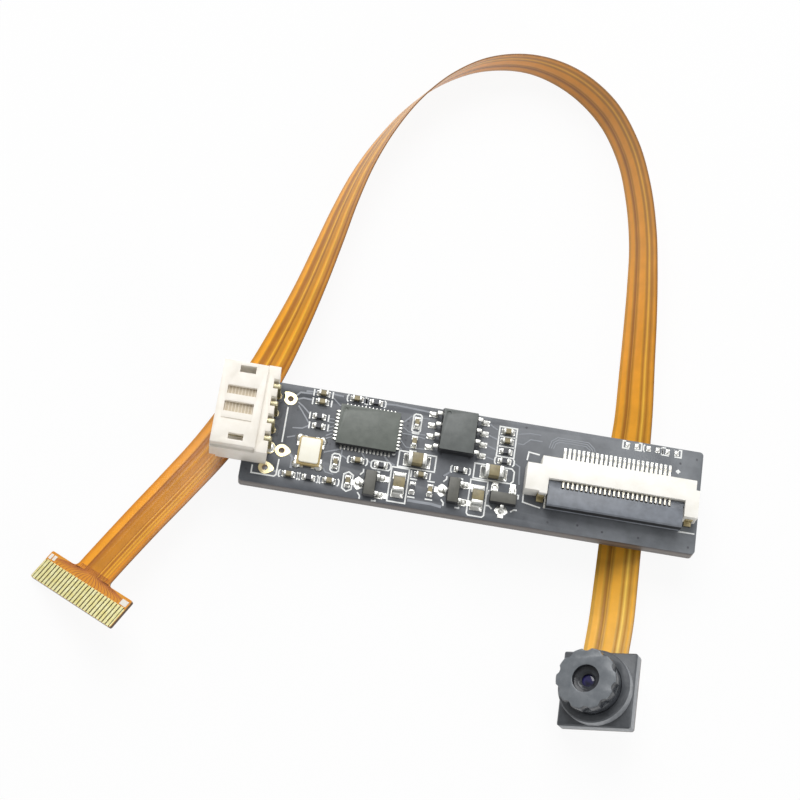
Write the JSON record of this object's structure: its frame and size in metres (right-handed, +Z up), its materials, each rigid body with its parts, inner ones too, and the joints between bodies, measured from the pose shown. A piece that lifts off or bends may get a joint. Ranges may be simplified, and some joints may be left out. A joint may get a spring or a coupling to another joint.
{
  "type": "camera module",
  "caption": "Narrow controller board with a white side-entry header and a flip-lock flex socket, and a small screw-focus camera head on a long amber flat flex.",
  "frame": {"origin": "middle of the footprint of the board, header and camera head, on the table they lie on", "axes": "+X along the board from the header to the flex socket, +Y from the camera head to the board, +Z up from the table"},
  "size_m": [0.0689, 0.078, 0.0088],
  "materials": {
    "board_mask": "satin solder mask over glass laminate, dark grey",
    "gold_plating": "bright gold plating",
    "solder": "bright reflowed solder",
    "white_nylon": "natural white nylon",
    "pin_metal": "tin plated brass",
    "socket_ivory": "ivory liquid crystal polymer",
    "lever_black": "black liquid crystal polymer",
    "contact_metal": "plated phosphor bronze",
    "chip_epoxy": "dark moulded epoxy",
    "lead_tin": "tinned leads",
    "crystal_ceramic": "ceramic package base",
    "crystal_lid": "pale plated metal lid",
    "capacitor_ceramic": "brown ceramic",
    "terminal_tin": "tinned end terminals",
    "resistor_black": "black glass over thick film",
    "stiffener_steel": "thin steel stiffener",
    "polyimide": "amber polyimide film over copper",
    "sensor_silicon": "silicon die",
    "sensor_glass": "clear cover glass",
    "filter_glass": "coated blue glass",
    "holder_black": "black glass-filled plastic",
    "barrel_black": "black moulded plastic",
    "lens_glass": "coated lens, blue-violet reflection",
    "tail_stiffener": "brown polyimide stiffener",
    "finger_gold": "gold plated contact fingers"
  },
  "bodies": {
    "module": {"circuit_board": "board_mask", "plated_holes": "gold_plating", "solder_pads": "solder", "header_housing": "white_nylon", "header_pin_1": "pin_metal", "header_pin_2": "pin_metal", "header_pin_3": "pin_metal", "header_pin_4": "pin_metal", "fpc_socket_housing": "socket_ivory", "fpc_socket_contacts": "contact_metal", "fpc_socket_anchor_left": "contact_metal", "fpc_socket_anchor_right": "contact_metal", "controller_chip": "chip_epoxy", "controller_leads": "lead_tin", "memory_chip": "chip_epoxy", "memory_leads": "lead_tin", "crystal_base": "crystal_ceramic", "crystal_lid": "crystal_lid", "regulator_1": "chip_epoxy", "regulator_2": "chip_epoxy", "regulator_3": "chip_epoxy", "regulator_1_leads": "lead_tin", "regulator_2_leads": "lead_tin", "regulator_3_leads": "lead_tin", "bulk_capacitor_1": "capacitor_ceramic", "bulk_capacitor_2": "capacitor_ceramic", "bulk_capacitor_3": "capacitor_ceramic", "bulk_capacitor_4": "capacitor_ceramic", "bulk_capacitor_terminals": "terminal_tin", "chip_capacitors": "capacitor_ceramic", "chip_capacitor_terminals": "terminal_tin", "chip_resistors": "resistor_black", "chip_resistor_terminals": "terminal_tin", "head_stiffener": "stiffener_steel", "head_flex": "polyimide", "image_sensor": "sensor_silicon", "sensor_glass": "sensor_glass", "infrared_filter": "filter_glass", "lens_holder": "holder_black", "flex_cable": "polyimide", "tail_flex": "polyimide", "tail_stiffener": "tail_stiffener", "tail_fingers": "finger_gold"},
    "socket_lever": {"fpc_socket_actuator": "lever_black"},
    "barrel": {"lens_barrel": "barrel_black", "front_lens": "lens_glass", "middle_lens": "lens_glass", "rear_lens": "lens_glass", "lens_spacer": "barrel_black", "lens_retainer": "barrel_black"}
  },
  "joints": [
    {"name": "lever_flip", "type": "hinge", "parent": "module", "child": "socket_lever", "pos_m": [0.01707, 0.00873, 0.0062], "axis": [-1, 0, 0], "range_deg": [0, 90]},
    {"name": "lens_focus", "type": "hinge", "parent": "module", "child": "barrel", "pos_m": [0.01694, -0.01192, 0.00493], "axis": [-0.454, 0, 0.891], "range_deg": [-180, 180]}
  ]
}
